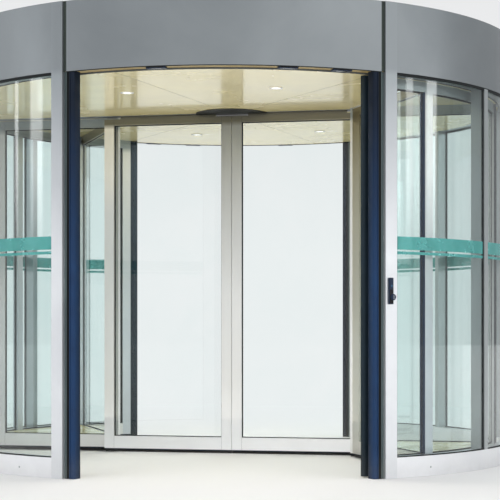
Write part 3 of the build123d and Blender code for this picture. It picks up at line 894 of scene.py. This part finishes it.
def build_roof_trim():
    """Two standing seams along the roof deck and a ring of fixing screws near its rim."""
    bm = bmesh.new()
    seam_ring, screw_ring, screws = 1.86, 1.895, 48
    for x in (-0.62, 0.62):
        length = 2 * sqrt(seam_ring**2 - x**2)
        add_bar(bm, (0.030, length, 0.0025), shift((x, 0.0, DECK + 0.0010)), 0.0010, 2)
        add_bar(bm, (0.010, length, 0.0055), shift((x, 0.0, DECK + 0.0030)), 0.0020, 2)
    hand_over(bm, "deck_seams", "drum", [deck_paint])
    shape = turned_shape(((0, 0), (0.0080, 0), (0.0080, 0.0008), (0.0050, 0.0012),
                          (0.0045, 0.0030), (0.0030, 0.0042), (0, 0.0045)), 10)
    bm = bmesh.new()
    for index in range(screws):
        angle = (index + 0.5) * 360.0 / screws
        stamp(bm, shape, place_on_ring(screw_ring, angle, DECK - 0.0002))
    hand_over(bm, "deck_screws", "drum", [bolt_steel])


# Rotor and leaves

def stamp_downlights(name, outline, steps, material):
    """One turned piece at each downlight's spot."""
    bm = bmesh.new()
    shape = turned_shape(outline, steps)
    for x, y in DOWNLIGHT_SPOTS:
        stamp(bm, shape, shift((x, y, 0.0)))
    return hand_over(bm, name, "rotor", [material], TWICE)


def build_downlights():
    """Recessed downlights: a white trim ring round a frosted lens."""
    piece = stamp_downlights("downlight_trims", (
        (0, CEILING), (0.0430, CEILING), (0.0426, 2.3872), (0.0408, 2.3858), (0.0315, 2.3856),
        (0.0290, 2.3868), (0.0275, 2.3892), (0, 2.3892)), 48, white_trim)
    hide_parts("downlights")
    stamp_downlights("downlight_lenses", (
        (0, 2.3891), (0.0278, 2.3891), (0.0266, 2.3880), (0.0170, 2.3872), (0, 2.3869)),
        40, lens_glow)


CASE_FOOT = plan_point(RAIL_INNER, REAR_STILE - STILE_HALF)
CASE_TURN = degrees(atan2(CASE_FOOT.y - WING_FACE, CASE_FOOT.x - CASE_START))


def case_place(along, across, level):
    """Place on the angled showcase panel, X running outwards along it."""
    return (shift((CASE_START, WING_FACE, 0.0)) @ Matrix.Rotation(radians(CASE_TURN), 4, "Z")
            @ shift((along, across, level)))


def build_rotor_beads():
    """Black glazing beads round the straight, angled and curved panes of both wings."""
    bm = bmesh.new()
    height = PANE_TOP - PANE_FOOT
    wing_pane = shift((WING_START + FRAME_WIDTH, WING_LINE, PANE_FOOT))
    add_pane_seal(bm, wing_pane, WING_PANE, height)
    case_pane = case_place(CASE_STILE, FRAME_DEPTH / 2, PANE_FOOT)
    add_pane_seal(bm, case_pane, CASE_LENGTH - CASE_STILE, height)
    for start, end in CURVED_RUNS:
        add_curved_seal(bm, PANE_IN, PANE_OUT, start, end, PANE_FOOT, PANE_TOP, 0.007, 0.004)
    hand_over(bm, "rotor_glazing_beads", "rotor", [black_rubber], TWICE)


def build_wing_joints():
    """Fine joint lines on both faces of the wings' straight frames."""
    bm = bmesh.new()
    start = WING_START + FRAME_WIDTH
    add_joint_lines(bm, (start, start + WING_PANE), (WING_FACE, WING_FACE + FRAME_DEPTH),
                    ((FRAME_FOOT, PANE_FOOT), (PANE_TOP, CEILING)))
    hand_over(bm, "wing_joints", "rotor", [dark_plastic], TWICE)


def build_ceiling_trims():
    """Slim pale trims between the showcase panels and the ceiling, on the doorway side."""
    bm = bmesh.new()
    place = case_place(0.545, -0.0018, CEILING - 0.0047)
    add_bar(bm, (1.080, 0.004, 0.009), place, 0.001, 2)
    hand_over(bm, "ceiling_trims", "rotor", [rail_metal], TWICE)


def build_stile_bumpers():
    """Thin navy rubber strips on the rear stiles' tail side, inside and outside the glass."""
    bm = bmesh.new()
    side = REAR_STILE - STILE_HALF
    reach = side - degrees(0.008 / RAIL_OUTER)
    for low, high, corner in ((RAIL_INNER, PANE_IN, 0), (PANE_OUT, RAIL_OUTER, 1)):
        outline = plan_outline(((low, reach), (high, reach), (high, side), (low, side)))
        add_upright(bm, outline, PANE_FOOT, PANE_TOP, ((corner, 0.005),))
    piece = hand_over(bm, "stile_bumpers", "rotor", [strip_rubber], TWICE)
    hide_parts("stile_edges")


def build_tail_rubbers():
    """Dark navy rubber nose on the tail of each curved wall, with a groove down each side; its
    colour is darkened further as painted shade.
    """
    bm = bmesh.new()
    groove = TAIL_END - 0.55
    cuts = (groove - 0.13, groove - 0.09, groove - 0.04, groove)
    outline = grooved_outline(RAIL_INNER, RAIL_OUTER, TIP_END, TAIL_END, cuts)
    add_upright(bm, outline, BRUSH_FOOT, CEILING, ((0, 0.012), (1, 0.012)))
    piece = hand_over(bm, "tail_rubbers", "rotor", [shaded_tail_rubber], TWICE)
    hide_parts("tail_tips")


BRUSH_PARTS = [bristle, dark_plastic]
HOLDER_DEPTH = 0.012
HOLDER_HEIGHT = 0.007
BRISTLE_HEIGHT = FRAME_FOOT - BRUSH_FOOT - 0.001


def build_wing_bristles():
    """Upright bristle seals at the wing ends and on the tail stiles, in slim carriers."""
    bm = bmesh.new()
    length = CEILING - FRAME_FOOT
    upright = Matrix(((0, 0, -1, 0), (0, 1, 0, 0), (1, 0, 0, 0), (0, 0, 0, 1)))
    over_stile = Matrix.Rotation(radians(TAIL_STILE), 4, "Z")
    for turn, tip, carrier, line in ((Matrix.Identity(4), 1.8385, 1.8265, WING_LINE),
                                     (over_stile, SWEEP - 0.0012, 1.830, 0.0)):
        comb = add_comb(bm, length, 0.010, 0.0110, 0.005)
        bmesh.ops.transform(bm, matrix=turn @ shift((tip, line, FRAME_FOOT)) @ upright,
                            verts=comb)
        add_bar(bm, (0.004, HOLDER_DEPTH, length),
                turn @ shift((carrier, line, FRAME_FOOT + length / 2)), 0.001, 1, 1)
    piece = hand_over(bm, "upright_bristles", "rotor", BRUSH_PARTS, TWICE, 60.0)
    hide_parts("wing_seals")


def add_floor_brush(bm, place, length):
    """Straight run of floor bristles in a slim holder, along X from the place."""
    comb = add_comb(bm, length, HOLDER_DEPTH, BRISTLE_HEIGHT)
    bmesh.ops.transform(bm, matrix=place, verts=comb)
    middle = shift((length / 2, 0.0, FRAME_FOOT - BRUSH_FOOT - HOLDER_HEIGHT / 2))
    add_bar(bm, (length, HOLDER_DEPTH, HOLDER_HEIGHT), place @ middle, 0.001, 1, 1)


def build_floor_bristles():
    """Bristles under the wings and the showcases, in slim dark holders."""
    bm = bmesh.new()
    add_floor_brush(bm, shift((WING_START, WING_LINE, BRUSH_FOOT)), WING_END - WING_START)
    add_floor_brush(bm, case_place(0.0, FRAME_DEPTH / 2, BRUSH_FOOT), CASE_LENGTH)
    radius = (PANE_IN + PANE_OUT) / 2
    end = -degrees(asin(-WING_FACE / radius))
    comb = add_comb(bm, radians(end - TAIL_END) * radius, HOLDER_DEPTH, BRISTLE_HEIGHT)
    bend(comb, radius, TAIL_END, BRUSH_FOOT)
    add_arc_bar(bm, PANE_IN, PANE_OUT, FRAME_FOOT - HOLDER_HEIGHT, FRAME_FOOT, TAIL_END, end,
                0.001, 1)
    piece = hand_over(bm, "floor_bristles", "rotor", BRUSH_PARTS, TWICE, 60.0)
    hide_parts("floor_brushes")


def build_leaf(side):
    """Glazing beads, joint lines and floor bristles of one sliding leaf."""
    bm = bmesh.new()
    width = LEAF_WIDTH - LEAF_EDGE - 2 * LEAF_STILE
    pane = shift((LEAF_EDGE + LEAF_STILE, 0.0, PANE_FOOT))
    add_pane_seal(bm, pane, width, LEAF_PANE_TOP - PANE_FOOT)
    hand_over(bm, f"{side}_beads", side, [black_rubber])
    bm = bmesh.new()
    add_joint_lines(bm, (LEAF_EDGE + LEAF_STILE, LEAF_WIDTH - LEAF_STILE),
                    (-FRAME_DEPTH / 2, FRAME_DEPTH / 2),
                    ((FRAME_FOOT, PANE_FOOT), (LEAF_PANE_TOP, LEAF_HEAD)))
    hand_over(bm, f"{side}_joints", side, [dark_plastic])
    bm = bmesh.new()
    add_floor_brush(bm, shift((LEAF_EDGE, 0.0, BRUSH_FOOT)), LEAF_WIDTH - LEAF_EDGE)
    piece = hand_over(bm, f"{side}_bristles", side, BRUSH_PARTS, sharp=60.0)
    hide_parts(f"{side}_brush")


# Camera, light and floor

def build_camera():
    """Camera at the photograph's height and distance."""
    data = bpy.data.cameras.new("camera")
    data.lens = 108.21
    data.sensor_width = 36.0
    data.shift_x = -0.0507
    data.shift_y = 0.1506
    data.clip_end = 200.0
    camera = add_object("camera", data)
    camera.location = (0.3026, -10.55, 0.9048)
    camera.rotation_euler = (pi / 2, 0.0, 0.0)
    bpy.context.scene.camera = camera


DOOR_MIDDLE = (0.0, 0.0, 1.2)


def add_lamp(name, place, size, power, aim=DOOR_MIDDLE, tint=(1.0, 1.0, 1.0)):
    """Large soft lamp, which shows neither to the camera nor in gloss or glass."""
    data = bpy.data.lights.new(name, "AREA")
    data.shape = "RECTANGLE"
    data.size, data.size_y = size
    data.energy = power
    data.color = tint
    lamp = add_object(name, data)
    lamp.location = place
    lamp.rotation_euler = (Vector(aim) - Vector(place)).to_track_quat("-Z", "Y").to_euler()
    lamp.visible_camera = False
    lamp.visible_glossy = False
    lamp.visible_transmission = False


def build_lamps():
    """Soft lamps round the door, a warm one on its floor and two under its ceiling."""
    add_lamp("key_lamp", (-7.0, -11.0, 7.5), (9.0, 6.0), 420.0)
    add_lamp("fill_lamp", (10.0, -9.0, 4.5), (9.0, 7.0), 380.0)
    add_lamp("front_lamp", (0.0, -9.0, 1.0), (9.0, 1.6), 120.0, (0.0, 0.0, 0.3))
    add_lamp("back_lamp", (4.0, 12.0, 7.0), (10.0, 6.0), 420.0)
    add_lamp("top_lamp", (0.0, 0.0, 9.0), (8.0, 8.0), 200.0)
    add_lamp("inner_lamp", (0.0, 0.0, 0.25), (2.6, 2.6), 24.0, (0.0, 0.0, 2.4),
             (1.0, 0.93, 0.79))
    for index, side in enumerate((-1.0, 1.0), 1):
        add_lamp(f"aisle_lamp_{index}", (0.0, side * 1.15, 2.36), (1.5, 0.7), 23.0,
                 (0.0, side * 1.25, 0.0), (1.0, 0.985, 0.95))


# Surroundings: the pale backdrop with its tone overhead, and two things that only gloss shows:
# broad sides (direction, start, tone) and slim bright cards (plan angle, half width)
SEEN_RAYS = ("Is Camera Ray", "Is Glossy Ray", "Is Transmission Ray")
BACKDROP = (0.90, 0.905, 0.91)
OVERHEAD = (0.60, 0.62, 0.64)
SIDES = (((0.87, -0.50, 0.0), 0.55, (1.25, 1.25, 1.25)),
         ((0.90, 0.44, 0.0), 0.50, (0.40, 0.41, 0.42)),
         ((-0.87, -0.50, 0.0), 0.72, (0.60, 0.61, 0.63)))
CARDS = ((-15.5, 0.035), (-4.0, 0.055), (190.0, 0.065), (179.0, 0.02))
CARD_LIGHT = (5.4, 5.45, 5.5)
UP = (0.0, 0.0, 1.0)
DOWN = (0.0, 0.0, -1.0)


def facing(tree, direction, vector, start, end):
    """One where the world vector points along the direction, zero away from it."""
    along = calculate(tree, "DOT_PRODUCT", vector, direction, kind=VECTOR)
    return span(tree, along, 0.0, 1.0, start, end)


def bright_card(tree, ahead, angle, half_width):
    """Mask of a tall bright card at a plan angle, just above eye level."""
    turn = radians(angle)
    across = calculate(tree, "DOT_PRODUCT", ahead, (-sin(turn), cos(turn), 0.0), kind=VECTOR)
    width = span(tree, calculate(tree, "ABSOLUTE", across), 1.0, 0.0, 0.7 * half_width,
                 half_width)
    return combine(tree, "MULTIPLY", (
        facing(tree, (cos(turn), sin(turn), 0.0), ahead, 0.7, 0.8), width,
        facing(tree, UP, ahead, 0.045, 0.10), facing(tree, DOWN, ahead, -0.175, -0.160)))


def build_world():
    """Pale surroundings with bright cards for gloss, and an even soft light."""
    world = bpy.data.worlds.new("studio")
    world.use_nodes = True
    bpy.context.scene.world = world
    tree = world.node_tree
    tree.nodes.clear()
    tree.nodes.new("ShaderNodeOutputWorld")
    ahead = add_node(tree, "ShaderNodeTexCoord").outputs["Generated"]
    in_gloss = ray_mask(tree, "Is Glossy Ray")
    colour = mix_colours(tree, facing(tree, UP, ahead, 0.05, 0.65), BACKDROP, OVERHEAD)
    for direction, start, tone in SIDES:
        side = calculate(tree, "MULTIPLY", facing(tree, direction, ahead, start, 1.0), in_gloss)
        colour = mix_colours(tree, side, colour, tone)
    for angle, half_width in CARDS:
        card = calculate(tree, "MULTIPLY", bright_card(tree, ahead, angle, half_width),
                         in_gloss)
        colour = mix_colours(tree, card, colour, CARD_LIGHT)
    seen = add_node(tree, "ShaderNodeBackground", Color=colour, Strength=1.0)
    soft = add_node(tree, "ShaderNodeBackground", Color=(1.0, 1.0, 1.0), Strength=0.66)
    mix_shaders(tree, ray_mask(tree, *SEEN_RAYS), soft.outputs["Background"],
                seen.outputs["Background"])


def build_floor():
    """Plain pale floor under the door, which melts into the backdrop with distance."""
    bm = bmesh.new()
    bmesh.ops.create_circle(bm, cap_ends=True, segments=96, radius=60.0)
    mesh = to_mesh(bm, "floor")
    material, tree, shader = new_material("pale_floor")
    patches = effect(tree, PATCHES, Scale=0.4)
    fill(tree, shader, Roughness=span(tree, patches, 0.55, 0.65),
         Base_Color=mix_colours(tree, patches, (0.86, 0.86, 0.86), (0.84, 0.84, 0.845)))
    far = span(tree, from_axis(tree), 0.0, 1.0, 2.6, 6.5)
    faded = calculate(tree, "MULTIPLY", far, ray_mask(tree, *SEEN_RAYS))
    glow = add_node(tree, "ShaderNodeEmission", Color=BACKDROP, Strength=1.0)
    mix_shaders(tree, faded, shader.outputs["BSDF"], glow.outputs["Emission"])
    mesh.materials.append(material)
    slab = add_object("floor", mesh)
    slab.location.z = -0.0005


def set_view():
    """Standard view, with enough light bounces for the many panes."""
    scene = bpy.context.scene
    scene.view_settings.view_transform = "Standard"
    scene.cycles.max_bounces = 24
    scene.cycles.transmission_bounces = 24
    scene.cycles.transparent_max_bounces = 24


finish_nodes()
build_drum_beads()
build_safety_rubbers()
build_edge_bellows()
build_edge_carriers()
build_soffit_beads()
build_sensors()
build_switch()
build_base_plugs()
build_roof_trim()
build_downlights()
build_rotor_beads()
build_wing_joints()
build_ceiling_trims()
build_stile_bumpers()
build_tail_rubbers()
build_wing_bristles()
build_floor_bristles()
build_leaf("leaf_right")
build_leaf("leaf_left")
build_camera()
build_lamps()
build_world()
build_floor()
set_view()
